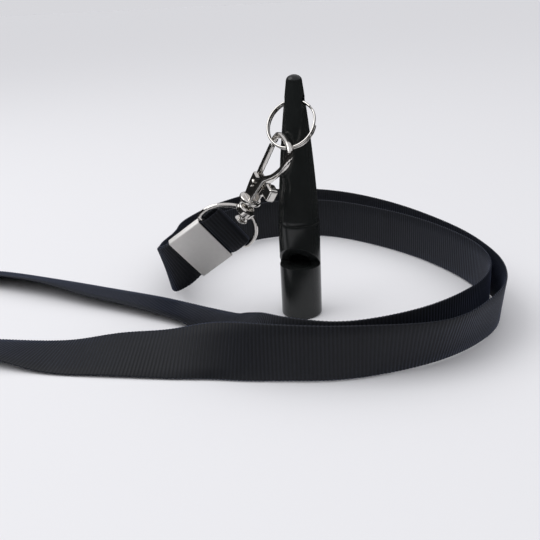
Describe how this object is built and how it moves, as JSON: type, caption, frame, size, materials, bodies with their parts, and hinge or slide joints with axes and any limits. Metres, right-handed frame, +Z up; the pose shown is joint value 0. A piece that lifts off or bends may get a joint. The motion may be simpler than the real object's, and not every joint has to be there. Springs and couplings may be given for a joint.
{
  "type": "dog whistle",
  "caption": "Black moulded dog whistle standing on its mouth end, with a split ring, a swivel trigger hook and a crimped flat ribbon lanyard lying in a loop round it.",
  "frame": {"origin": "centre of the whistle's mouth end, on the surface that it stands on", "axes": "+Z up along the whistle's axis, sound window towards -Y, ring hole along X"},
  "size_m": [0.2234, 0.1508, 0.0757],
  "materials": {
    "black_plastic": "polished moulding",
    "nickel": "bright nickel plate",
    "satin_nickel": "satin nickel plate on sheet steel",
    "spring_steel": "drawn wire",
    "black_ribbon": "woven grosgrain"
  },
  "bodies": {
    "lanyard": {"ribbon_crimp": "satin_nickel", "ribbon_fold": "black_ribbon", "ribbon_inner_strand": "black_ribbon", "ribbon_bight": "black_ribbon", "ribbon_outer_strand": "black_ribbon"},
    "d_ring": {"swivel_d_ring": "nickel"},
    "hook": {"hook_body": "nickel", "lever_rivet": "nickel", "lever_spring": "spring_steel"},
    "trigger": {"trigger_lever": "nickel"},
    "ring": {"split_ring": "nickel"},
    "whistle": {"whistle_barrel": "black_plastic", "whistle_tail": "black_plastic", "fipple_plug": "black_plastic"}
  },
  "joints": [
    {"name": "d_ring_tilt", "type": "hinge", "parent": "lanyard", "child": "d_ring", "pos_m": [-0.0246, -0.00291, 0.02745], "axis": [0.6016, 0.4741, -0.6428], "range_deg": [-60, 60]},
    {"name": "hook_swivel", "type": "hinge", "parent": "d_ring", "child": "hook", "pos_m": [-0.01474, -0.00335, 0.038], "axis": [0.4725, -0.0664, 0.8788], "range_deg": [-35, 280]},
    {"name": "trigger_pull", "type": "hinge", "parent": "hook", "child": "trigger", "pos_m": [-0.01188, -0.00355, 0.04373], "axis": [0.6857, 0.6541, -0.3193], "range_deg": [0, 25], "stiffness_Nm_per_rad": 0.01, "springref_deg": -45.84, "deforming": ["lever_spring"]},
    {"name": "ring_on_hook", "type": "hinge", "parent": "hook", "child": "ring", "pos_m": [-0.00239, -0.00759, 0.05585], "axis": [0.9436, -0.2814, -0.1744], "range_deg": [-12, 18]},
    {"name": "whistle_on_ring", "type": "hinge", "parent": "ring", "child": "whistle", "pos_m": [0, 0, 0.068], "axis": [1, 0, 0], "range_deg": [0, 240]}
  ]
}
